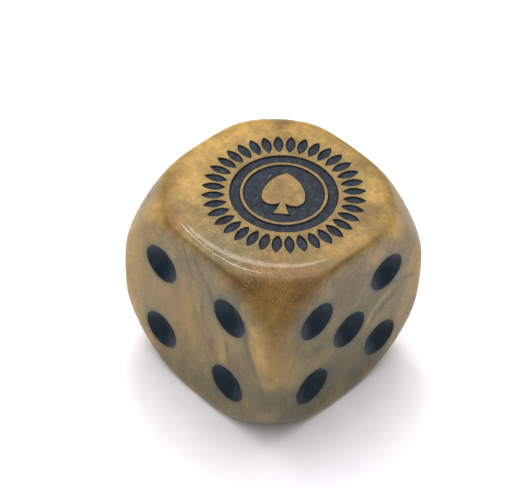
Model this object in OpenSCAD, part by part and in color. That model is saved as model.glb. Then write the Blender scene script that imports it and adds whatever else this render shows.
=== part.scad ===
/* Six-sided casino die: a solid block of cast resin, rounded to a ball at its corners, with drilled and
   painted pips and an engraved, painted emblem in place of the six.
   Millimetres. The origin is the centre of the die, and each axis runs out through a face:
   +Z emblem (six), -Z one, -Y four, +Y three, +X five, -X two. Opposite faces add up to seven. */

/* [Body] */
// Length of the cube's edge, from face to face
edge = 16; // [12:0.5:25]
// Diameter of the ball that rounds the corners, in percent of the edge
ball = 143; // [139:0.5:147]
// Radius that softens every edge and the rim of every face, in percent of the edge
rim_round = 4.6; // [3.5:0.1:6]

/* [Pips] */
// Diameter of a pip at the face, in percent of the edge
pip = 20.6; // [15:0.2:23]
// Distance of an outer pip from the face's middle along each side, in percent of the edge
pip_step = 22.35; // [18:0.05:23]
// Point angle of the drill that sinks the pips, in degrees
drill_angle = 118; // [100:1:140]
// Depth of the paint that has pooled at a pip's point, in millimetres
pip_pool = 0.2; // [0.1:0.02:0.3]
// Depth of the paint left at a pip's rim, in millimetres
pip_film = 0.03; // [0.02:0.01:0.06]

/* [Emblem] */
// Radius over the ring of small marks, in percent of the edge
emblem = 37.5; // [30:0.5:40]
// How far the emblem sits off the face's middle towards +X, in millimetres
emblem_right = 0.2; // [-0.5:0.05:0.5]
// How far the emblem sits off the face's middle towards +Y, in millimetres
emblem_up = 0.5; // [-0.6:0.05:0.6]
// How far the spade is turned from +Y towards -X, in degrees
emblem_turn = 40; // [0:5:90]
// Number of marks in the ring
marks = 36; // [24:1:40]
// Depth of the engraving, in millimetres
engraving = 0.35; // [0.25:0.05:0.6]
// Thickness of the paint on the engraving's floor, in millimetres
emblem_paint = 0.2; // [0.1:0.02:0.24]

/* [Hidden] */
$fn = 96;
resin_colour = "#a88b52";
paint_colour = "#26313d";

half = edge / 2;
ball_r = ball / 200 * edge;
round_r = rim_round / 100 * edge;
// The slabs that cut the faces are a hair wider than the ball, so that the ball alone shapes the corners
slab_r = ball_r + 0.01;
// Each rim is rounded about a circle of this radius around the face's axis, this high above the middle
ring_z = half - round_r;
ring_r = sqrt(pow(slab_r - round_r, 2) - pow(ring_z, 2));

pip_r = pip / 200 * edge;
pip_pitch = pip_step / 100 * edge;
// Radius of the drill's blunt tip
tip_r = 0.06;
pip_depth = (pip_r - tip_r) / tan(drill_angle / 2);
pool_depth = pip_depth - pip_pool;
// How far each cutter is carried on above the face that it cuts
over = 0.5;

emblem_r = emblem / 100 * edge;
// The marks reach in to this radius, and each is nearly as wide as its share of the way round there
marks_in = 0.71 * emblem_r;
mark_w = 0.99 * 2 * PI * marks_in / marks;
band_out = 0.66 * emblem_r;
band_in = 0.53 * emblem_r;
field_r = 0.495 * emblem_r;
spade_h = 1.4 * field_r;

// Each pip: node name, value of its face, place on the face in pitches to the right and up
PIPS = [
    ["pip_one", 1, [0, 0]],
    ["pip_two_low", 2, [-1, -1]],
    ["pip_two_high", 2, [1, 1]],
    ["pip_three_low", 3, [-1, -1]],
    ["pip_three_middle", 3, [0, 0]],
    ["pip_three_high", 3, [1, 1]],
    ["pip_four_low_left", 4, [-1, -1]],
    ["pip_four_low_right", 4, [1, -1]],
    ["pip_four_high_left", 4, [-1, 1]],
    ["pip_four_high_right", 4, [1, 1]],
    ["pip_five_low_left", 5, [-1, -1]],
    ["pip_five_low_right", 5, [1, -1]],
    ["pip_five_middle", 5, [0, 0]],
    ["pip_five_high_left", 5, [-1, 1]],
    ["pip_five_high_right", 5, [1, 1]],
];
// How each face's own frame (right, up, outward) is turned from the die's frame, by the face's value
FACE_TURN = [undef, [180, 0, 0], [90, 0, -90], [90, 0, 180], [90, 0, 0], [90, 0, 90], [0, 0, 0]];

// Puts its children on the face of the given value, with that face's middle at their origin
module on_face(value) {
    rotate(FACE_TURN[value]) translate([0, 0, half]) children();
}

module at_pip(p) {
    on_face(p[1]) translate([pip_pitch * p[2][0], pip_pitch * p[2][1], 0]) children();
}

module on_emblem() {
    on_face(6) translate([emblem_right, emblem_up, 0]) rotate(emblem_turn) children();
}

// A round slab of the die's height: flat ends, soft rims, and a side just clear of the ball
module soft_slab() {
    beyond = 2 * slab_r / ring_r;
    rotate_extrude() {
        translate([0, -half]) square([ring_r, edge]);
        intersection() {
            circle(slab_r);
            polygon([[0, 0], beyond * [ring_r, -ring_z], beyond * [ring_r, ring_z]]);
        }
        for (side = [-1, 1]) translate([ring_r, side * ring_z]) circle(round_r);
    }
}

// A bar along Z with the die's square section and soft edges
module soft_bar() {
    for (size = [[edge, 2 * ring_z], [2 * ring_z, edge]])
        cube([size[0], size[1], 2 * edge], center = true);
    for (x = [-ring_z, ring_z], y = [-ring_z, ring_z])
        translate([x, y, 0]) cylinder(r = round_r, h = 2 * edge, center = true);
}

// The die before drilling: the ball, cut to a cube with soft edges and soft rims round its faces
module blank() {
    intersection() {
        sphere(ball_r);
        soft_slab();
        rotate([90, 0, 0]) soft_slab();
        rotate([0, 90, 0]) soft_slab();
        soft_bar();
        rotate([90, 0, 0]) soft_bar();
        rotate([0, 90, 0]) soft_bar();
    }
}

// The drill's cone, carried on a little above the face
module pip_drill() {
    above = over / tan(drill_angle / 2);
    translate([0, 0, -pip_depth])
        cylinder(r1 = tip_r, r2 = pip_r + over, h = pip_depth + above);
}

module pip_paint() {
    difference() {
        translate([0, 0, -pip_depth]) cylinder(r1 = tip_r, r2 = pip_r, h = pip_depth);
        translate([0, 0, -pool_depth]) cylinder(r1 = tip_r, r2 = pip_r - pip_film, h = pool_depth);
    }
}

// A playing-card spade of height h, its middle at the origin and its tip towards +Y: a pointed leaf between
// two arcs, a round lobe on each side, and a foot with hollow sides
module spade(h) {
    waist_y = -0.1 * h;
    half_w = 0.38 * h;
    leaf_h = h / 2 - waist_y;
    side_x = (pow(leaf_h, 2) - pow(half_w, 2)) / (2 * half_w);
    lobe_r = 0.195 * h;
    foot = 0.14 * h;
    stem = 0.03 * h;
    stem_top = 0.05 * h;
    drop = h / 2 + waist_y;
    hollow = (pow(foot - stem, 2) + pow(drop, 2)) / (2 * (foot - stem));
    intersection() {
        intersection_for(side = [-1, 1]) translate([side * side_x, waist_y]) circle(side_x + half_w);
        translate([-h, waist_y]) square([2 * h, h]);
    }
    for (side = [-1, 1]) translate([side * (half_w - lobe_r), waist_y]) circle(lobe_r);
    difference() {
        translate([-foot, -h / 2]) square([2 * foot, drop + stem_top]);
        for (side = [-1, 1]) translate([side * (stem + hollow), waist_y]) circle(hollow);
    }
}

module band_outline() {
    difference() {
        circle(band_out);
        circle(band_in);
    }
}

module field_outline() {
    difference() {
        circle(field_r);
        spade(spade_h);
    }
}

// A pointed oval between the two radii of the ring, made of two arcs
module mark_outline() {
    l = (emblem_r - marks_in) / 2;
    w = mark_w / 2;
    shift = (l * l - w * w) / (2 * w);
    translate([0, marks_in + l])
        intersection_for(side = [-1, 1]) translate([side * shift, 0]) circle(shift + w);
}

module marks_outline() {
    for (i = [0 : marks - 1]) rotate(i * 360 / marks) mark_outline();
}

// The engraving for a given outline, open at the face
module engraved() {
    on_emblem() translate([0, 0, -engraving]) linear_extrude(engraving + over) children();
}

// The paint on the engraving's floor for the same outline
module painted() {
    color(paint_colour) on_emblem() translate([0, 0, -engraving]) linear_extrude(emblem_paint) children();
}

module die_body() {
    color(resin_colour) difference() {
        blank();
        for (p = PIPS) at_pip(p) pip_drill();
        engraved() band_outline();
        engraved() field_outline();
        engraved() marks_outline();
    }
}

module emblem_band() {
    painted() band_outline();
}

module emblem_field() {
    painted() field_outline();
}

module emblem_marks() {
    painted() marks_outline();
}

module pip_fill(p) {
    color(paint_colour) at_pip(p) pip_paint();
}

die_body();
emblem_band();
emblem_field();
emblem_marks();
for (p = PIPS) pip_fill(p);
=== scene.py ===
"""A casino die cast in marbled, pearly resin, with drilled and painted pips and an engraved emblem.
Lengths in this script are millimetres, turned to metres when a mesh is made; z is up."""
import math

import bmesh
import bpy
import numpy as np
from mathutils import Matrix, Vector
from mathutils.geometry import delaunay_2d_cdt


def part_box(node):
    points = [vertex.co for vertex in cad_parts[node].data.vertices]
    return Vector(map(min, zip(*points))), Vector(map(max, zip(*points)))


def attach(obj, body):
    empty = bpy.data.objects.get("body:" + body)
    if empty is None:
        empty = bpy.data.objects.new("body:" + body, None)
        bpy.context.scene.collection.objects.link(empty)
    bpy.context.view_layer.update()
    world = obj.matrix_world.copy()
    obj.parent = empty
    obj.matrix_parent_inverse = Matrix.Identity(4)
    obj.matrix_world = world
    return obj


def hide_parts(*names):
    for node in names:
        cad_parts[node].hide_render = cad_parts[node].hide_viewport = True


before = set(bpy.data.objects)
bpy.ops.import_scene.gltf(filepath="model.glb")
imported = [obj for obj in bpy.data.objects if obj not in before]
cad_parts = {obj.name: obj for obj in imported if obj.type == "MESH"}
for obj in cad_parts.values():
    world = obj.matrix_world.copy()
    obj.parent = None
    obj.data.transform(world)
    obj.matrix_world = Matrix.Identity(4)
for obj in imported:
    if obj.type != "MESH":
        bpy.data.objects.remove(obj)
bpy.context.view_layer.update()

MM = 0.001
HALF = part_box("die_body")[1].z / MM

# ---------------------------------------------------------------- sizes

# The tumbled die's form: a cube and a ball of this radius, in half-edges, blended by a power mean.
# The higher the power, the tighter the rounding where two of them meet.
BALL = 1.431
SHARPNESS = 40
# Each face is filled with triangles out to this radius, in half-edges. Beyond it, rows of quads run out
# to the seams with its neighbours: this many round and outward, closer together near the triangles.
FILL = 0.87
AROUND = 256
OUTWARD = 18
CROWDING = 1.25

# Radius of the softened rim of a drilled or engraved recess, and the number of steps in its curve
LIP = 0.035
LIP_STEPS = 4
# Radius of the drill's blunt tip
PIP_TIP = 0.06
# How far the engraving's walls fall for each millimetre inward
WALL_SLOPE = 6.0

# The paint ends this far below the face; it is this thick on a pip's cone, and this deep at its point
PAINT_LINE = 0.03
PIP_FILM = 0.03
PIP_POOL = 0.2
# The film is full this far in from the paint's end, and turns into the pool over this depth
FILM_EDGE = 0.06
POOL_EDGE = 0.08
# The paint's underside follows the recess from this far in from the paint's end
UNDER_EDGE = 0.02

# The gap left between a recess and the paint in it, so that their surfaces never coincide
SKIN_GAP = 0.001
# Points this close are one point: of a whole mesh, and of one stretch that is being triangulated
WELD = 0.0002
SNAP = 1e-7
# Flat stretches are filled with points this far apart, and this share of that from every edge
GRID = 0.55
EDGE_SHARE = 0.45
# An outline is grown and shrunk by this much to find which way its sides face
NUDGE = 0.002
TINY = 1e-9


# ---------------------------------------------------------------- small mesh tools

class Mesh:
    """Points with normals, and faces, gathered from patches that are welded where they meet. Each face
    keeps the normals of its own patch, so that patches may meet in a crease."""

    def __init__(self):
        self.points, self.normals, self.faces = [], [], []
        self.count = 0

    def add(self, points, normals, faces):
        self.points.append(points)
        self.normals.append(normals)
        self.faces += [[i + self.count for i in face] for face in faces]
        self.count += len(points)

    def build(self, name, material):
        mesh = bpy.data.meshes.new(name)
        mesh.from_pydata((np.concatenate(self.points) * MM).tolist(), [], self.faces)
        corners = [i for face in self.faces for i in face]
        kept = mesh.attributes.new("kept_normal", "FLOAT_VECTOR", "CORNER")
        kept.data.foreach_set("vector", np.concatenate(self.normals)[corners].astype(np.float32).ravel())
        welded = bmesh.new()
        welded.from_mesh(mesh)
        bmesh.ops.remove_doubles(welded, verts=welded.verts, dist=WELD * MM)
        welded.to_mesh(mesh)
        welded.free()
        kept = mesh.attributes["kept_normal"]
        normals = np.zeros(len(mesh.loops) * 3, np.float32)
        kept.data.foreach_get("vector", normals)
        mesh.attributes.remove(kept)
        mesh.shade_smooth()
        mesh.normals_split_custom_set(normals.reshape(-1, 3).tolist())
        mesh.materials.append(material)
        made = bpy.data.objects.new(name, mesh)
        bpy.context.scene.collection.objects.link(made)
        return made


def flipped(faces):
    return [face[::-1] for face in faces]


def grid_faces(rows, columns):
    """Quads between rows of points that close round on themselves."""
    return [
        [r * columns + c, r * columns + (c + 1) % columns,
         (r + 1) * columns + (c + 1) % columns, (r + 1) * columns + c]
        for r in range(rows - 1) for c in range(columns)
    ]


def inside(points, loop):
    """Which points lie inside a closed loop, by counting crossings."""
    x, y = points[:, 0, None], points[:, 1, None]
    x0, y0 = loop[:, 0], loop[:, 1]
    x1, y1 = np.roll(x0, -1), np.roll(y0, -1)
    straddles = (y0 > y) != (y1 > y)
    rise = np.where(y1 == y0, 1, y1 - y0)
    return (straddles & (x < x0 + (y - y0) * (x1 - x0) / rise)).sum(1) % 2 == 1


def between(points, loops):
    """Which points lie inside the outer loop and outside the holes in it."""
    return sum(inside(points, loop).astype(int) for loop in loops) % 2 == 1


def spread_points(loops):
    """Points of an even triangular grid that lie between loops and clear of them."""
    reach = np.abs(loops[0]).max() + GRID
    steps = np.arange(-reach, reach, GRID)
    x, y = np.meshgrid(steps, steps * math.sqrt(3) / 2)
    x = x + (np.arange(len(x)) % 2)[:, None] * GRID / 2
    points = np.stack([x.ravel(), y.ravel()], 1) + loops[0].mean(0)
    points = points[between(points, loops)]
    away = np.linalg.norm(points[:, None] - np.concatenate(loops)[None], axis=2)
    return points[away.min(1) > GRID * EDGE_SHARE]


def filled(loops):
    """Flat triangles between an outer loop and the holes in it, with points spread evenly between."""
    points = np.concatenate(loops + [spread_points(loops)])
    edges, start = [], 0
    for loop in loops:
        edges += [(start + i, start + (i + 1) % len(loop)) for i in range(len(loop))]
        start += len(loop)
    made = delaunay_2d_cdt([Vector(p) for p in points], edges, [], 0, SNAP)
    points, triangles = np.array([tuple(v) for v in made[0]]), np.array(made[2])
    return points, triangles[between(points[triangles].mean(1), loops)].tolist()


# ---------------------------------------------------------------- outlines
# An outline is a function of g, the distance that it is grown outward. It runs counter-clockwise.

def arc(centre, radius, start, end, count):
    t = np.linspace(start, end, count, endpoint=False)
    return np.stack([centre[0] + radius * np.cos(t), centre[1] + radius * np.sin(t)], 1)


def placed(points, centre, turn):
    """Points turned about the origin and then moved to a centre."""
    c, s = math.cos(turn), math.sin(turn)
    return points @ np.array([[c, s], [-s, c]]) + centre


def circle_outline(centre, radius, count=96):
    return lambda g: arc(centre, radius + g, 0, 2 * math.pi, count)


def mark_outline(centre, turn, inner, outer, width, count=14):
    """A pointed oval between two radii about a centre: two arcs that meet in points."""
    half_l, half_w = (outer - inner) / 2, width / 2
    shift = (half_l * half_l - half_w * half_w) / (2 * half_w)

    def outline(g):
        radius = shift + half_w + g
        swing = math.acos(shift / radius)
        right = arc((-shift, 0), radius, -swing, swing, count)
        left = arc((shift, 0), radius, math.pi - swing, math.pi + swing, count)
        return placed(np.concatenate([right, left]) + [0, inner + half_l], centre, turn)
    return outline


def spade_outline(centre, turn, h, count=22):
    """A playing-card spade of height h with its tip towards +Y before it is turned: a pointed leaf
    between two arcs, a round lobe on each side, and a foot with hollow sides."""
    waist, half_w, lobe, foot, stem = -0.1 * h, 0.38 * h, 0.195 * h, 0.14 * h, 0.03 * h
    leaf_h, drop = h / 2 - waist, h / 2 + waist
    side = (leaf_h ** 2 - half_w ** 2) / (2 * half_w)
    hollow = ((foot - stem) ** 2 + drop ** 2) / (2 * (foot - stem))
    lobe_x, hollow_x = half_w - lobe, stem + hollow

    def outline(g):
        leaf_r, lobe_r, hollow_r = side + half_w + g, lobe + g, hollow - g
        meet = (lobe_r ** 2 - hollow_r ** 2 + hollow_x ** 2 - lobe_x ** 2) / (2 * (hollow_x - lobe_x))
        meet_lobe = math.acos((meet - lobe_x) / lobe_r)
        meet_hollow = math.acos((hollow_x - meet) / hollow_r)
        base = math.asin((drop + g) / hollow_r)
        right = np.concatenate([
            arc((hollow_x, waist), hollow_r, math.pi + base, math.pi + meet_hollow, count),
            arc((lobe_x, waist), lobe_r, -meet_lobe, 0, count),
            arc((-side, waist), leaf_r, 0, math.acos(side / leaf_r), count),
        ])
        tip = np.array([[0, waist + math.sqrt(leaf_r ** 2 - side ** 2)]])
        left = right[::-1] * [-1, 1]
        return placed(np.concatenate([right, tip, left]), centre, turn)
    return outline


# ---------------------------------------------------------------- the die's form

def face_frame(axis, sign):
    """Columns right, up and outward of the face across the given axis, on the given side."""
    e = np.eye(3)
    right, up = e[(axis + 1) % 3], e[(axis + 2) % 3]
    return np.stack([right, up, e[axis]] if sign > 0 else [up, right, -e[axis]], 1)


def on_die(directions):
    """Points of the tumbled surface in these directions from the middle, and the normals there."""
    d = directions / np.linalg.norm(directions, axis=1)[:, None]
    size = ((np.abs(d) ** SHARPNESS).sum(1) + BALL ** -SHARPNESS) ** (-1 / SHARPNESS)
    p = d * size[:, None]
    slope = np.sign(p) * np.abs(p) ** (SHARPNESS - 1)
    slope += (size / BALL)[:, None] ** (SHARPNESS - 1) * d / BALL
    return p * HALF, slope / np.linalg.norm(slope, axis=1)[:, None]


def face_points(turn, flat):
    """Points of the surface that lie over these places on a face, given in its own right and up."""
    return on_die(np.column_stack([flat / HALF, np.ones(len(flat))]) @ turn.T)


def below_face(turn, flat, depth):
    """Points this far below these places on a face."""
    return np.column_stack([flat, np.full(len(flat), HALF - depth)]) @ turn.T


def face_border(mesh, turn):
    """Adds the stretch of a face from its triangles to the seams with its neighbours."""
    t = np.arange(AROUND) * 2 * math.pi / AROUND
    ray = np.stack([np.cos(t), np.sin(t)], 1)
    seam = 1 / np.abs(ray).max(1)
    rows = []
    for i in range(OUTWARD + 1):
        reach = FILL + (seam - FILL) * (i / OUTWARD) ** CROWDING
        rows.append(ray * reach[:, None] * HALF)
    points, normals = face_points(turn, np.concatenate(rows))
    mesh.add(points, normals, flipped(grid_faces(OUTWARD + 1, AROUND)))


def sunk(mesh, turn, outline, profile, island=False, up=1):
    """Adds rows of points down the wall of a recess, or of an island left standing in one, and returns
    the lowest row. The profile holds (distance out over the rim, depth) from the top down. up is -1 for
    a surface that faces down."""
    way = -1 if island else 1
    rows, normals = [], []
    for i, (out, depth) in enumerate(profile):
        flat = outline(out * way)
        side = (outline(out * way + NUDGE) - outline(out * way - NUDGE)) * way
        side /= np.maximum(np.linalg.norm(side, axis=1), TINY)[:, None]
        before, after = profile[max(i - 1, 0)], profile[min(i + 1, len(profile) - 1)]
        tilt = math.atan2(after[1] - before[1], before[0] - after[0]) if depth > 0 else 0
        normals.append(np.column_stack([-side * math.sin(tilt), np.full(len(flat), math.cos(tilt))]))
        rows.append(below_face(turn, flat, depth) if depth > 0 else face_points(turn, flat)[0])
    faces = grid_faces(len(rows), len(rows[0]))
    flip = (up < 0) != island
    mesh.add(np.concatenate(rows), np.concatenate(normals) @ turn.T * up, flipped(faces) if flip else faces)
    return outline(profile[-1][0] * way)


def floor_of(mesh, turn, loops, depth, up=1):
    """Adds a flat cap between loops, this far below the face."""
    flat, triangles = filled(loops)
    normals = np.tile(turn[:, 2] * up, (len(flat), 1))
    mesh.add(below_face(turn, flat, depth), normals, triangles if up > 0 else flipped(triangles))


# ---------------------------------------------------------------- what is on each face, read from the frame

def node_place(node):
    """The axis and side of the face that a node lies in, that face's frame, the node's middle on it, and
    the node's sizes, largest first."""
    low, high = (np.array(v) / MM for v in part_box(node))
    middle, size = (low + high) / 2, high - low
    axis = int(np.argmin(size))
    sign = 1 if middle[axis] > 0 else -1
    turn = face_frame(axis, sign)
    return (axis, sign), turn, (middle @ turn)[:2], np.sort(size)[::-1]


PIPS = sorted(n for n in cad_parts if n.startswith("pip_"))
# The pips of each face, by its axis and side: (node, middle)
PIPS_ON = {}
for pip in PIPS:
    pip_face, _, pip_middle, _ = node_place(pip)
    PIPS_ON.setdefault(pip_face, []).append((pip, pip_middle))
# All pips are alike, so one of them gives the sizes
pip_size = node_place(PIPS[-1])[3]
PIP_R = pip_size[0] / 2
PIP_DEPTH = pip_size[2]
PIP_SLOPE = PIP_DEPTH / (PIP_R - PIP_TIP)

EMBLEM_FACE, EMBLEM_TURN, EMBLEM_MIDDLE, band_size = node_place("emblem_band")
EMBLEM_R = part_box("emblem_marks")[1].x / MM - EMBLEM_MIDDLE[0]
EMBLEM_PAINT = band_size[2]
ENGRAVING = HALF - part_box("emblem_band")[0].z / MM
BAND_OUT = band_size[0] / 2
BAND_IN = 0.53 * EMBLEM_R
FIELD_R = node_place("emblem_field")[3][0] / 2
SPADE_H = 1.4 * FIELD_R
SPADE_TURN = math.radians(40)
MARKS = 36
# The marks reach in to this radius, and each is nearly as wide as its share of the way round there
MARKS_IN = 0.71 * EMBLEM_R
MARK_W = 0.99 * 2 * math.pi * MARKS_IN / MARKS

MARK_RIMS = [
    mark_outline(EMBLEM_MIDDLE, SPADE_TURN + i * 2 * math.pi / MARKS, MARKS_IN, EMBLEM_R, MARK_W)
    for i in range(MARKS)
]
BAND_RIM = circle_outline(EMBLEM_MIDDLE, BAND_OUT, 160)
BAND_ISLAND = circle_outline(EMBLEM_MIDDLE, BAND_IN, 160)
FIELD_RIM = circle_outline(EMBLEM_MIDDLE, FIELD_R, 140)
FIELD_ISLAND = spade_outline(EMBLEM_MIDDLE, SPADE_TURN, SPADE_H)


# ---------------------------------------------------------------- the resin body

def lip(slope):
    """The softened rim of a recess, from the face to a wall that falls slope for each millimetre inward."""
    angle = math.atan(slope)
    reach = LIP * math.tan(angle / 2)
    turns = [angle * i / LIP_STEPS for i in range(LIP_STEPS + 1)]
    return [(reach - LIP * math.sin(a), LIP * (1 - math.cos(a))) for a in turns]


def pip_recess():
    """The drill's cone, from its softened rim to its blunt tip."""
    runs = [(PIP_R - PIP_TIP) * share for share in (0.1, 0.3, 0.55, 0.8, 1)]
    return lip(PIP_SLOPE) + [(-run, PIP_SLOPE * run) for run in runs]


def engraved_recess():
    return lip(WALL_SLOPE) + [(-ENGRAVING / WALL_SLOPE, ENGRAVING)]


def drilled_pip(mesh, turn, middle):
    """Adds the drilled cone and returns the hole that it leaves in the face."""
    rim = circle_outline(middle, PIP_R)
    profile = pip_recess()
    bottom = sunk(mesh, turn, rim, profile)
    floor_of(mesh, turn, [bottom], PIP_DEPTH)
    return [rim(profile[0][0])]


def engraved(mesh, turn, rim, island=None):
    """Adds an engraved recess, with an island left in it if there is one, and returns what it cuts."""
    profile = engraved_recess()
    cut, bottom = [rim(profile[0][0])], [sunk(mesh, turn, rim, profile)]
    if island:
        cut.append(island(-profile[0][0]))
        bottom.append(sunk(mesh, turn, island, profile, island=True))
    floor_of(mesh, turn, bottom, ENGRAVING)
    return cut


def engraved_emblem(mesh, turn):
    """Adds all of the emblem's recesses and returns what they cut."""
    cut = []
    for rim in MARK_RIMS:
        cut += engraved(mesh, turn, rim)
    cut += engraved(mesh, turn, BAND_RIM, BAND_ISLAND)
    cut += engraved(mesh, turn, FIELD_RIM, FIELD_ISLAND)
    return cut


def die_body():
    mesh = Mesh()
    for axis in range(3):
        for sign in (-1, 1):
            turn = face_frame(axis, sign)
            face_border(mesh, turn)
            loops = [circle_outline((0, 0), FILL * HALF, AROUND)(0)]
            for _, middle in PIPS_ON.get((axis, sign), []):
                loops += drilled_pip(mesh, turn, middle)
            if (axis, sign) == EMBLEM_FACE:
                loops += engraved_emblem(mesh, turn)
            flat, triangles = filled(loops)
            points, normals = face_points(turn, flat)
            mesh.add(points, normals, triangles)
    return mesh.build("resin_die", marbled_resin())


# ---------------------------------------------------------------- the paint in the recesses

def soft_min(a, b, width):
    """The lower of two depths, with a soft turn between them."""
    h = max(0, min(1, 0.5 + 0.5 * (b - a) / width))
    return b * (1 - h) + a * h - width * h * (1 - h)


def pip_paint_top():
    """The paint's open surface, as (distance out over the rim, depth): a film that follows the cone and
    pools at its point."""
    rows = []
    for share in (0, 0.01, 0.025, 0.05, 0.1, 0.2, 0.35, 0.5, 0.65, 0.75, 0.82, 0.88, 0.93, 0.97, 1):
        run = share * PIP_R
        film = PIP_FILM * min(1, run / FILM_EDGE)
        depth = soft_min(PIP_SLOPE * run + PAINT_LINE - film, PIP_DEPTH - PIP_POOL, POOL_EDGE)
        rows.append((max(-PAINT_LINE / PIP_SLOPE - run, -PIP_R), depth))
    return rows


def pip_paint(node, middle, turn):
    mesh = Mesh()
    rim = circle_outline(middle, PIP_R)
    top = pip_paint_top()
    start = top[0][0] - UNDER_EDGE
    sunk(mesh, turn, rim, top)
    under = [top[0]] + [(out - SKIN_GAP, depth) for out, depth in pip_recess() if out < start]
    bottom = sunk(mesh, turn, rim, under, up=-1)
    floor_of(mesh, turn, [bottom], PIP_DEPTH, up=-1)
    return mesh.build("paint_" + node, pip_paint_material())


def emblem_paint_top():
    """The paint's open surface, as (distance out over the rim, depth): a film that thins out up the wall,
    and a level fill."""
    level = ENGRAVING - EMBLEM_PAINT
    return [(-0.004, PAINT_LINE), (-0.02, PAINT_LINE + 0.012), (-0.034, 0.06), (-0.05, 0.1),
            (-0.072, level - 0.02), (-0.105, level - 0.004), (-0.15, level)]


def emblem_paint(name, rims, islands=()):
    """Paint in the recesses with these rims, the first of which have these islands."""
    mesh = Mesh()
    top = emblem_paint_top()
    deep = ENGRAVING - SKIN_GAP
    under = [top[0], (-deep / WALL_SLOPE - SKIN_GAP, deep)]
    islands = list(islands) + [None] * (len(rims) - len(islands))
    for rim, island in zip(rims, islands):
        upper = [sunk(mesh, EMBLEM_TURN, rim, top)]
        lower = [sunk(mesh, EMBLEM_TURN, rim, under, up=-1)]
        if island:
            upper.append(sunk(mesh, EMBLEM_TURN, island, top, island=True))
            lower.append(sunk(mesh, EMBLEM_TURN, island, under, island=True, up=-1))
        floor_of(mesh, EMBLEM_TURN, upper, top[-1][1])
        floor_of(mesh, EMBLEM_TURN, lower, deep, up=-1)
    return mesh.build(name, emblem_paint_material())


# ---------------------------------------------------------------- shader nodes and colours

class Nodes:
    """The shader nodes of a material or a world, made one at a time. An input is a value, or another
    node's output. Places in a material are in millimetres."""

    def __init__(self, owner):
        self.owner = owner
        owner.use_nodes = True
        self.tree = owner.node_tree
        self.tree.nodes.clear()

    def feed(self, socket, value):
        if isinstance(value, bpy.types.NodeSocket):
            self.tree.links.new(value, socket)
        else:
            socket.default_value = value

    def add(self, kind, inputs=None, **settings):
        node = self.tree.nodes.new("ShaderNode" + kind)
        for key, value in settings.items():
            setattr(node, key, value)
        for key, value in (inputs or {}).items():
            self.feed(node.inputs[key], value)
        return node

    def millimetres(self):
        return self.vector("SCALE", self.add("TexCoord").outputs["Object"], Scale=1 / MM)

    def math(self, operation, *values, clamp=False):
        return self.add("Math", dict(enumerate(values)), operation=operation, use_clamp=clamp).outputs[0]

    def vector(self, operation, *values, **named):
        out = "Value" if operation in ("LENGTH", "DISTANCE", "DOT_PRODUCT") else "Vector"
        return self.add("VectorMath", {**dict(enumerate(values)), **named}, operation=operation).outputs[out]

    def noise(self, place, scale, detail=2.0, rough=0.5, output=0):
        return self.add("TexNoise", {"Vector": place, "Scale": scale, "Detail": detail,
                                     "Roughness": rough}).outputs[output]

    def push(self, place, scale, reach, detail=1.0):
        """Pushes places about by up to this reach."""
        shake = self.vector("SUBTRACT", self.noise(place, scale, detail, output="Color"), (0.5, 0.5, 0.5))
        return self.vector("ADD", place, self.vector("SCALE", shake, Scale=reach * 2))

    def span(self, value, low, high, to_low=0.0, to_high=1.0):
        return self.add("MapRange", {"Value": value, "From Min": low, "From Max": high,
                                     "To Min": to_low, "To Max": to_high},
                        interpolation_type="SMOOTHSTEP").outputs[0]

    def mix(self, share, a, b, blend="MIX"):
        """Colour a with this share of colour b laid over it."""
        return self.add("Mix", {0: share, 6: a, 7: b}, data_type="RGBA", blend_type=blend).outputs[2]

    def tint(self, colour, over, mask, share):
        """A colour with this share of another laid over it where the mask is 1."""
        return self.mix(self.math("MULTIPLY", mask, share), colour, over)

    def ramp(self, value, *stops):
        node = self.add("ValToRGB", {"Fac": value})
        for i, (at, colour) in enumerate(stops):
            stop = node.color_ramp.elements[i] if i < 2 else node.color_ramp.elements.new(at)
            stop.position, stop.color = at, colour
        return node.outputs[0]

    def patch(self, place, middle, size, soft=0.6):
        """1 inside an egg of these half-sizes and 0 outside it. It changes over this share of its size to
        each side of its skin."""
        off = self.vector("DIVIDE", self.vector("SUBTRACT", place, middle), size)
        return self.span(self.vector("LENGTH", off), 1 - soft, 1 + soft, 1.0, 0.0)

    def streak(self, place, route, width, fade=1.6):
        """1 along a route and 0 away from it. It fades out towards both of its ends."""
        along = 0.0
        for start, end in zip(route, route[1:]):
            way = Vector(end) - Vector(start)
            off = self.vector("SUBTRACT", place, start)
            ahead = self.vector("DOT_PRODUCT", off, way)
            share = self.math("MULTIPLY", ahead, 1 / way.length_squared, clamp=True)
            nearest = self.vector("SCALE", way, Scale=share)
            away = self.vector("LENGTH", self.vector("SUBTRACT", off, nearest))
            along = self.math("MAXIMUM", along, self.span(away, 0.0, width * 2, 1.0, 0.0))
        for end in (route[0], route[-1]):
            along = self.math("MULTIPLY", along, self.span(self.vector("DISTANCE", place, end), 0.0, fade))
        return along

    def bump(self, height, strength, distance):
        return self.add("Bump", {"Height": height, "Strength": strength, "Distance": distance}).outputs[0]

    def finish(self, shader, output="OutputMaterial"):
        self.tree.links.new(shader.outputs[0], self.add(output).inputs[0])
        return self.owner


def srgb(r, g, b):
    """A colour given as it looks, from 0 to 255, as the linear one that a shader takes."""
    return tuple(((c / 255 + 0.055) / 1.055) ** 2.4 for c in (r, g, b)) + (1,)


LIGHT_GOLD = srgb(174, 140, 76)
GOLD = srgb(147, 115, 58)
TAN = srgb(127, 109, 68)
OLIVE = srgb(98, 90, 56)
RUST = srgb(122, 88, 44)
UMBER = srgb(106, 80, 42)
BROWN = srgb(92, 70, 38)
SLATE = srgb(72, 70, 54)
MAUVE = srgb(104, 88, 66)
MICA = srgb(236, 196, 116)
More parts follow.
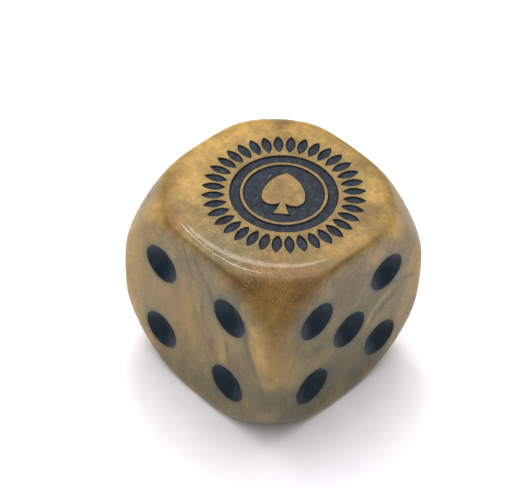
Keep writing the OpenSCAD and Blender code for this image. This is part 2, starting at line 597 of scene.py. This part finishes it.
# Painted shade on the resin, where paint in a recess keeps light out of it. Round a pip it is at its darkest
# out to the first of these distances from the pip's middle, and fades away up to the second.
PAINTED_SHADE = srgb(50, 60, 60)
HALO = (1.45, 2.35)
# The paint of a pip and of the emblem, each where it is thick and where it is thin, and rubbed off paint
PIP_TONES = (srgb(0, 22, 34), srgb(4, 34, 48))
EMBLEM_TONES = (srgb(2, 10, 20), srgb(32, 44, 57))
BARE = srgb(112, 104, 88)

# The way to the corner where the photo's three faces meet
FRONT = (0.57, -0.57, 0.57)

# Swirls of pigment, set out after the photo, some of them partly painted shade: (middle, half-sizes, colour,
# strength)
SWIRLS = (
    # on the emblem's face
    ((0, 0, 8), (8.5, 8.5, 1.2), GOLD, 0.8),
    ((-6.8, 0.2, 8), (1.8, 4.4, 2.0), LIGHT_GOLD, 0.75),
    ((-4.8, -3.6, 8), (1.3, 1.7, 2.0), LIGHT_GOLD, 0.5),
    ((-6.3, -4.2, 7.9), (0.6, 1.2, 1.0), RUST, 0.5),
    ((-2.8, -6.8, 8), (2.0, 0.9, 1.0), RUST, 0.8),
    ((-2.6, 6.8, 8), (3.5, 1.4, 1.5), LIGHT_GOLD, 0.5),
    ((-6.2, 3.2, 8), (1.4, 1.6, 1.5), LIGHT_GOLD, 0.6),
    ((-5.0, 5.5, 8), (0.5, 1.2, 1.0), BROWN, 0.3),
    ((4.3, 5.8, 8), (1.5, 1.3, 1.6), LIGHT_GOLD, 0.5),
    ((5.6, 4.0, 8), (0.8, 1.1, 1.2), UMBER, 0.65),
    ((2.0, -5.8, 8), (5.2, 1.9, 1.0), TAN, 0.8),
    ((3.2, -5.5, 8), (1.8, 0.9, 1.0), OLIVE, 0.6),
    ((5.6, -3.2, 8), (0.9, 1.5, 1.0), OLIVE, 0.4),
    ((2.4, -6.9, 8), (3.6, 1.0, 1.0), OLIVE, 0.85),
    # over the rim, on the left and on the right
    ((-5.3, -7.2, 7.2), (1.4, 1.0, 1.1), LIGHT_GOLD, 0.9),
    ((-4.6, -8, 5.4), (1.0, 1.0, 0.9), GOLD, 0.6),
    ((7.5, 4.7, 7.3), (1.0, 1.4, 0.9), LIGHT_GOLD, 0.6),
    ((8, 6.8, 2.2), (1.0, 0.9, 2.6), GOLD, 0.7),
    # round the corner towards the camera, and down the edge below it
    ((6.2, -6.0, 7.2), (3.0, 2.7, 1.7), RUST, 0.8),
    ((6.9, -6.6, 6.0), (1.3, 1.2, 1.2), GOLD, 0.45),
    ((3.8, -7.7, 7.3), (1.8, 0.8, 0.7), BROWN, 0.55),
    ((5.6, -7.2, 6.9), (1.2, 0.8, 0.5), GOLD, 0.35),
    ((7.8, -3.8, 6.6), (0.8, 1.9, 0.9), BROWN, 0.35),
    ((7.8, -6.0, 4.8), (0.9, 0.9, 1.2), UMBER, 0.45),
    ((6.4, -6.6, 6.8), (0.9, 0.7, 0.5), UMBER, 0.4),
    ((7.7, -7.1, 4.3), (0.8, 0.9, 1.3), RUST, 0.5),
    ((7.9, -6.8, 1.2), (1.0, 1.1, 1.9), GOLD, 0.6),
    # darker towards the table: partly the resin's smoke, partly painted shade
    ((7.6, -7.7, -2.4), (2.1, 1.7, 1.5), SLATE, 0.7),
    ((8.0, -7.4, -5.4), (2.0, 2.0, 1.6), MAUVE, 0.7),
    # on the face with four pips
    ((-1.8, -8, 0.6), (2.4, 1.0, 3.6), GOLD, 0.5),
    ((-6.8, -7.8, 1.0), (1.3, 1.4, 5.0), LIGHT_GOLD, 0.6),
    ((-1.5, -8, 5.7), (1.0, 1.0, 1.2), SLATE, 0.35),
    ((1.4, -8, 5.0), (1.0, 1.0, 2.6), MAUVE, 0.5),
    ((3.0, -8, 6.4), (0.5, 1.0, 1.0), GOLD, 0.5),
    ((3.6, -8, 5.7), (1.3, 1.0, 1.0), SLATE, 0.5),
    ((5.2, -8, -0.2), (0.7, 1.0, 2.4), SLATE, 0.4),
    ((4.3, -8, -0.6), (0.6, 1.0, 1.6), MAUVE, 0.45),
    ((3.0, -8, -0.3), (0.45, 1.0, 1.5), LIGHT_GOLD, 0.5),
    # darker towards the table: partly the resin's smoke, partly painted shade
    ((3.4, -8, -5.8), (3.4, 1.0, 1.4), SLATE, 0.45),
    ((-0.8, -8, -6.4), (3.0, 1.0, 1.0), OLIVE, 0.5),
    # on the face with five pips, whose darker swirls are partly painted shade for a side that gets less
    # light, most towards the table
    ((8, -0.6, 4.4), (1.0, 3.4, 2.0), MAUVE, 0.85),
    ((8, -5.2, 4.2), (0.8, 0.8, 1.6), SLATE, 0.6),
    ((8, 0.6, 0.8), (0.8, 4.6, 1.7), OLIVE, 0.95),
    ((8, 0.6, -2.8), (0.8, 3.8, 1.5), SLATE, 0.7),
    ((8, 2.2, 5.9), (1.0, 1.0, 0.7), LIGHT_GOLD, 0.4),
    ((8, 4.6, 5.4), (1.0, 1.5, 0.7), RUST, 0.4),
    ((8, 2.0, -5.6), (0.8, 2.4, 1.6), SLATE, 0.85),
    ((8, -4.6, -5.8), (0.8, 2.6, 1.6), SLATE, 0.75),
    ((8, -1.6, -4.4), (0.8, 1.4, 1.5), SLATE, 0.7),
    ((8, -6.0, -3.6), (0.9, 1.1, 1.5), SLATE, 0.65),
)

# Lines of smoke and gold drawn over them, and of painted shade along the rim's crest: (route, half-width,
# colour, strength)
LINES = (
    # painted shade along the crest of the rim towards the corner, where it turns away from the light
    (((2.6, -7.9, 7.7), (4.9, -6.7, 7.7), (6.3, -5.2, 7.7), (7.4, -2.8, 7.8)), 0.45, UMBER, 0.75),
    (((-6.4, -4.2, 8), (-5.3, -6.0, 7.9), (-3.9, -7.1, 7.8), (-2.6, -7.5, 7.8), (-1.6, -7.9, 7.3)),
     0.4, RUST, 0.75),
    (((0.0, -8, 6.9), (1.3, -8, 4.6), (1.7, -8, 3.2)), 0.6, MAUVE, 0.5),
    (((2.2, -8, 1.2), (1.9, -8, -0.4), (1.6, -8, -2.2)), 0.25, MAUVE, 0.6),
    (((5.9, -7.9, 5.6), (6.7, -7.9, 2.8), (7.4, -7.9, 0.3)), 0.85, LIGHT_GOLD, 0.75),
    (((7.6, -7.6, 3.6), (7.9, -7.0, 1.6), (7.9, -7.2, -0.2)), 0.5, GOLD, 0.4),
    # painted shade along the crest of the rim on the right
    (((7.0, -4.4, 8), (7.6, -1.4, 7.7), (7.9, 1.4, 7.3)), 0.5, BROWN, 0.35),
    (((4.7, -8, 5.2), (5.7, -8, 1.4), (7.1, -8, -1.4)), 0.24, SLATE, 0.65),
    (((-1.8, -8, 8.0), (-0.6, -8, 6.1), (0.1, -8, 4.7), (0.7, -8, 3.1), (1.1, -8, 0.2)), 0.15, SLATE, 0.75),
    (((-0.6, -8, 7.8), (0.9, -8, 5.9), (1.7, -8, 4.6), (2.4, -8, 3.0)), 0.27, SLATE, 0.6),
    (((2.8, -8, 2.6), (3.2, -8, 1.0), (4.0, -8, -2.2)), 0.16, SLATE, 0.7),
    (((8, -6.2, 3.2), (8, -4.4, 0.6), (8, -2.2, -0.4)), 0.3, SLATE, 0.5),
    (((8, 1.6, -1.4), (8, 2.0, -3.6), (8, 1.7, -6.6)), 0.25, MAUVE, 0.6),
    (((8, 5.0, 1.8), (8, 2.6, 0.4), (8, 1.4, -1.6)), 0.24, LIGHT_GOLD, 0.5),
    (((8, 5.4, 1.2), (8, 3.1, -0.1), (8, 1.9, -1.6)), 0.24, SLATE, 0.65),
    (((8, 3.4, 2.3), (8, 7.8, 0.8)), 0.16, SLATE, 0.4),
    (((-5.9, 6.0, 8), (-5.0, 4.2, 8)), 0.14, BROWN, 0.6),
)


# ---------------------------------------------------------------- materials

def clouds(n, drift, flow):
    """Clouds of olive, tan and gold, with smoke that comes and goes along one of their borders."""
    cloud = n.noise(flow, 0.13, 3.0)
    colour = n.ramp(cloud, (0.3, OLIVE), (0.42, TAN), (0.51, GOLD), (0.56, TAN), (0.6, MAUVE),
                    (0.64, OLIVE), (0.72, GOLD))
    border = n.span(n.math("ABSOLUTE", n.math("SUBTRACT", cloud, 0.44)), 0.0, 0.035, 1.0, 0.0)
    smoke = n.span(n.noise(drift, 0.3, 1.0), 0.38, 0.62, 0.1, 0.85)
    return n.tint(colour, SLATE, border, smoke)


def pigments_and_painted_shade(n, mm, bend, swirl, colour):
    """Calms the clouds to tan on the three faces in the photo, and lays the swirls and lines over them, with
    the painted shade that some of them carry.
    """
    front = n.span(n.vector("DOT_PRODUCT", mm, FRONT), -2.0, 2.5)
    colour = n.tint(colour, TAN, front, 0.85)
    for middle, size, pigment, share in SWIRLS:
        colour = n.tint(colour, pigment, n.patch(swirl, middle, size), share)
    for route, width, pigment, share in LINES:
        colour = n.tint(colour, pigment, n.streak(bend, route, width), share)
    return colour


def near_pip(n, place):
    """How far away the middle of the nearest pip is."""
    nearest = 4 * HALF
    for node in PIPS:
        low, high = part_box(node)
        away = n.vector("DISTANCE", place, (low + high) / 2 / MM)
        nearest = n.math("MINIMUM", nearest, away)
    return nearest


def painted_shade_round_paint(n, mm, colour):
    """Paints shade on the resin where the paint in the recesses keeps light out of it: round each pip, and
    faintly over the emblem.
    """
    colour = n.mix(n.span(near_pip(n, mm), *HALO, 0.6, 0.0), colour, PAINTED_SHADE)
    emblem = n.patch(mm, (*EMBLEM_MIDDLE, HALF), (EMBLEM_R,) * 3, 0.1)
    return n.tint(colour, PAINTED_SHADE, emblem, 0.2)


def grain(n, mm, flow, swirl, colour):
    """Fine clots of pigment, stronger towards the emblem, with haze and threads."""
    high = n.add("SeparateXYZ", {0: mm}).outputs[2]
    strong = n.span(high, 2.0, 7.5, 0.06, 0.14)
    clot = n.noise(n.push(mm, 1.0, 0.4), 1.6, 5.0, 0.62)
    haze = n.noise(n.vector("MULTIPLY", flow, (1.0, 1.0, 0.4)), 0.7, 3.0, 0.6)
    thread = n.noise(n.vector("MULTIPLY", swirl, (3.0, 3.0, 0.5)), 1.2, 6.0, 0.65)
    light = n.span(clot, 0.35, 0.65, n.math("SUBTRACT", 1.0, strong), n.math("ADD", 1.0, strong))
    light = n.math("MULTIPLY", light, n.span(haze, 0.35, 0.65, 0.87, 1.13))
    light = n.math("MULTIPLY", light, n.span(thread, 0.35, 0.65, 0.94, 1.06))
    grey = n.add("CombineColor", {0: light, 1: light, 2: light}).outputs[0]
    return n.mix(1.0, colour, grey, "MULTIPLY")


def mica(n, mm, drift, swirl, colour):
    """Bright flecks that lie in drifts, each at its own angle. Returns the colour and the normal."""
    flake = n.add("TexVoronoi", {"Vector": mm, "Scale": 20.0}).outputs["Color"]
    fleck = n.span(n.add("SeparateColor", {0: flake}).outputs[0], 0.9, 1.0)
    crowd = n.span(n.noise(drift, 0.6, 3.0), 0.42, 0.7, 0.03, 0.45)
    at_corner = n.math("MULTIPLY", n.patch(swirl, (4.6, -6.0, 7.8), (5.0, 2.6, 1.5)), 0.45)
    colour = n.tint(colour, MICA, fleck, n.math("MAXIMUM", crowd, at_corner))
    lean = n.vector("SCALE", n.vector("SUBTRACT", flake, (0.5, 0.5, 0.5)), Scale=0.4)
    facing = n.add("NewGeometry").outputs["Normal"]
    return colour, n.vector("NORMALIZE", n.vector("ADD", facing, lean))


def polished_skin(n, mm):
    """The normal of the clear outer skin, with faint waves and fine scratches."""
    wave = n.noise(mm, 0.9, 1.0)
    scratch = n.noise(n.vector("MULTIPLY", n.push(mm, 0.5, 0.6), (9.0, 1.2, 9.0)), 2.0, 3.0, 0.7)
    height = n.math("ADD", n.math("MULTIPLY", wave, 0.6), n.math("MULTIPLY", scratch, 0.02))
    return n.bump(height, 0.12, 0.00002)


def marbled_resin():
    n = Nodes(bpy.data.materials.new("marbled_resin"))
    mm = n.millimetres()
    drift = n.push(mm, 0.09, 2.5)
    bend = n.push(mm, 0.25, 0.5)
    swirl = n.push(bend, 0.7, 0.3)
    flow = n.push(n.vector("MULTIPLY", drift, (1.0, 1.0, 0.6)), 0.3, 1.0)
    colour = clouds(n, drift, flow)
    # the swirls and lines include painted shade along the rim and towards the table
    colour = pigments_and_painted_shade(n, mm, bend, swirl, colour)
    # painted shade round the pips and over the emblem
    colour = painted_shade_round_paint(n, mm, colour)
    colour = grain(n, mm, flow, swirl, colour)
    colour, flake_normal = mica(n, mm, drift, swirl, colour)
    return n.finish(n.add("BsdfPrincipled", {
        "Base Color": colour, "Metallic": 0.2, "Roughness": 0.42, "Normal": flake_normal,
        "Specular IOR Level": 0.05,
        "Subsurface Weight": 0.6, "Subsurface Scale": 0.0008, "Subsurface Radius": (1.0, 0.65, 0.35),
        "Coat Weight": 0.4, "Coat Roughness": 0.06, "Coat IOR": 1.5, "Coat Normal": polished_skin(n, mm)}))


def pip_paint_material():
    n = Nodes(bpy.data.materials.new("pip_paint"))
    mm = n.millimetres()
    thick, thin = PIP_TONES
    colour = n.ramp(n.noise(mm, 1.6, 3.0), (0.35, thick), (0.65, thin))
    rough = n.span(n.noise(mm, 3.0, 4.0, 0.6), 0.3, 0.7, 0.35, 0.5)
    return n.finish(n.add("BsdfPrincipled", {
        "Base Color": colour, "Roughness": rough, "Specular IOR Level": 0.16,
        "Normal": n.bump(n.noise(mm, 5.0, 3.0, 0.6), 0.3, 0.00003)}))


def emblem_paint_material():
    n = Nodes(bpy.data.materials.new("emblem_paint"))
    mm = n.millimetres()
    thick, thin = EMBLEM_TONES
    colour = n.ramp(n.noise(n.push(mm, 1.0, 0.4), 1.7, 5.0, 0.65), (0.36, thick), (0.66, thin))
    bare = n.span(n.noise(n.push(mm, 2.0, 0.3), 3.0, 4.0, 0.65), 0.63, 0.7, 0.0, 0.6)
    texture = n.noise(mm, 4.0, 4.0, 0.6)
    return n.finish(n.add("BsdfPrincipled", {
        "Base Color": n.mix(bare, colour, BARE), "Roughness": n.span(texture, 0.3, 0.7, 0.4, 0.6),
        "Specular IOR Level": 0.2, "Normal": n.bump(texture, 0.8, 0.00005)}))


def floor_material():
    n = Nodes(bpy.data.materials.new("white_table"))
    cloud = n.noise(n.millimetres(), 0.4, 3.0)
    colour = n.ramp(cloud, (0.3, (0.9, 0.885, 0.91, 1)), (0.7, (0.93, 0.915, 0.94, 1)))
    return n.finish(n.add("BsdfPrincipled", {"Base Color": colour, "Roughness": 0.6}))


# ---------------------------------------------------------------- the pieces

def piece(made, node):
    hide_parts(node)
    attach(made, "root")


piece(die_body(), "die_body")
for (axis, sign), here in PIPS_ON.items():
    for node, middle in here:
        piece(pip_paint(node, middle, face_frame(axis, sign)), node)
piece(emblem_paint("paint_emblem_band", [BAND_RIM], [BAND_ISLAND]), "emblem_band")
piece(emblem_paint("paint_emblem_field", [FIELD_RIM], [FIELD_ISLAND]), "emblem_field")
piece(emblem_paint("paint_emblem_marks", MARK_RIMS), "emblem_marks")


# ---------------------------------------------------------------- floor, light and camera

# Half of the table's side in metres, and how far it lies below the die, so that no surfaces coincide
TABLE = 2.0
TABLE_GAP = 0.01

# The camera stands here, in degrees and half-edges, and is turned a little off the die's middle
VIEW_AZIMUTH, VIEW_ELEVATION, VIEW_ROLL = 43.43, 46.89, 3.22
VIEW_DISTANCE = 19.276
DIE_RIGHT, DIE_BELOW = 0.355, 0.694
LENS, SENSOR = 142.46, 36.0

# Tube lights this far off in metres: name, start and end as (azimuth, elevation) and width, all in
# degrees, power and colour
LAMPS_AWAY = 0.5
TUBES = (
    ("bright tube", (-121, 50), (-131, 68), 1.5, 0.2, (1, 0.9, 0.82)),
    ("window", (-127, 49), (-142, 52), 2.5, 0.07, (1, 0.9, 0.84)),
)
# The light tent's brightest spot, and the middle of a darker patch above the camera, as (azimuth,
# elevation)
TENT_TOP = (VIEW_AZIMUTH - 150, 77)
FLAG = (VIEW_AZIMUTH, 74)


def stage_floor():
    mesh = bpy.data.meshes.new("table")
    corners = [(x * TABLE, y * TABLE, 0) for x, y in ((-1, -1), (1, -1), (1, 1), (-1, 1))]
    mesh.from_pydata(corners, [], [(0, 1, 2, 3)])
    mesh.materials.append(floor_material())
    table = bpy.data.objects.new("table", mesh)
    table.location.z = -(HALF + TABLE_GAP) * MM
    bpy.context.scene.collection.objects.link(table)


def direction(azimuth, elevation):
    a, e = math.radians(azimuth), math.radians(elevation)
    return Vector((math.sin(a) * math.cos(e), -math.cos(a) * math.cos(e), math.sin(e)))


def tube_light(name, start, end, width, power, colour):
    """A light drawn across the room from one direction to another."""
    a, b = direction(*start), direction(*end)
    away, along = (a + b).normalized(), (b - a).normalized()
    light = bpy.data.lights.new(name, "AREA")
    light.shape = "RECTANGLE"
    light.size = (b - a).length * LAMPS_AWAY
    light.size_y = math.radians(width) * LAMPS_AWAY
    light.energy = power
    light.color = colour
    lamp = bpy.data.objects.new(name, light)
    turn = Matrix((along, away.cross(along), away)).transposed()
    lamp.matrix_world = Matrix.Translation(away * LAMPS_AWAY) @ turn.to_4x4()
    bpy.context.scene.collection.objects.link(lamp)


def light_tent():
    """White cloth all round, brightest near its top."""
    world = bpy.data.worlds.new("light_tent")
    bpy.context.scene.world = world
    n = Nodes(world)
    look = n.add("TexCoord").outputs["Generated"]
    high = n.vector("DOT_PRODUCT", look, tuple(direction(*TENT_TOP)))
    tones = ((0.0, 0.12), (0.5, 0.1), (0.75, 0.3), (0.9, 0.8), (1.0, 0.95))
    cloth = n.ramp(high, *((at, (grey, grey, grey, 1)) for at, grey in tones))
    flag = n.span(n.vector("DOT_PRODUCT", look, tuple(direction(*FLAG))), 0.9, 0.975, 4.0, 2.0)
    n.finish(n.add("Background", {"Color": cloth, "Strength": flag}), "OutputWorld")


def stand_camera():
    cam = bpy.data.objects.new("camera", bpy.data.cameras.new("camera"))
    cam.data.lens, cam.data.sensor_width = LENS, SENSOR
    cam.data.clip_start, cam.data.clip_end = 0.01, 10
    back = direction(VIEW_AZIMUTH, VIEW_ELEVATION)
    right = direction(VIEW_AZIMUTH + 90, 0)
    level = Matrix((right, back.cross(right), back)).transposed()
    roll = Matrix.Rotation(math.radians(VIEW_ROLL), 3, "Z")
    to_die = Vector((math.tan(math.radians(DIE_RIGHT)), -math.tan(math.radians(DIE_BELOW)), -1))
    aim = Vector((0, 0, -1)).rotation_difference(to_die).to_matrix().inverted()
    cam.matrix_world = Matrix.Translation(back * VIEW_DISTANCE * HALF * MM) @ (level @ roll @ aim).to_4x4()
    bpy.context.scene.collection.objects.link(cam)
    bpy.context.scene.camera = cam


stage_floor()
for tube in TUBES:
    tube_light(*tube)
light_tent()
stand_camera()
bpy.context.scene.view_settings.view_transform = "Standard"
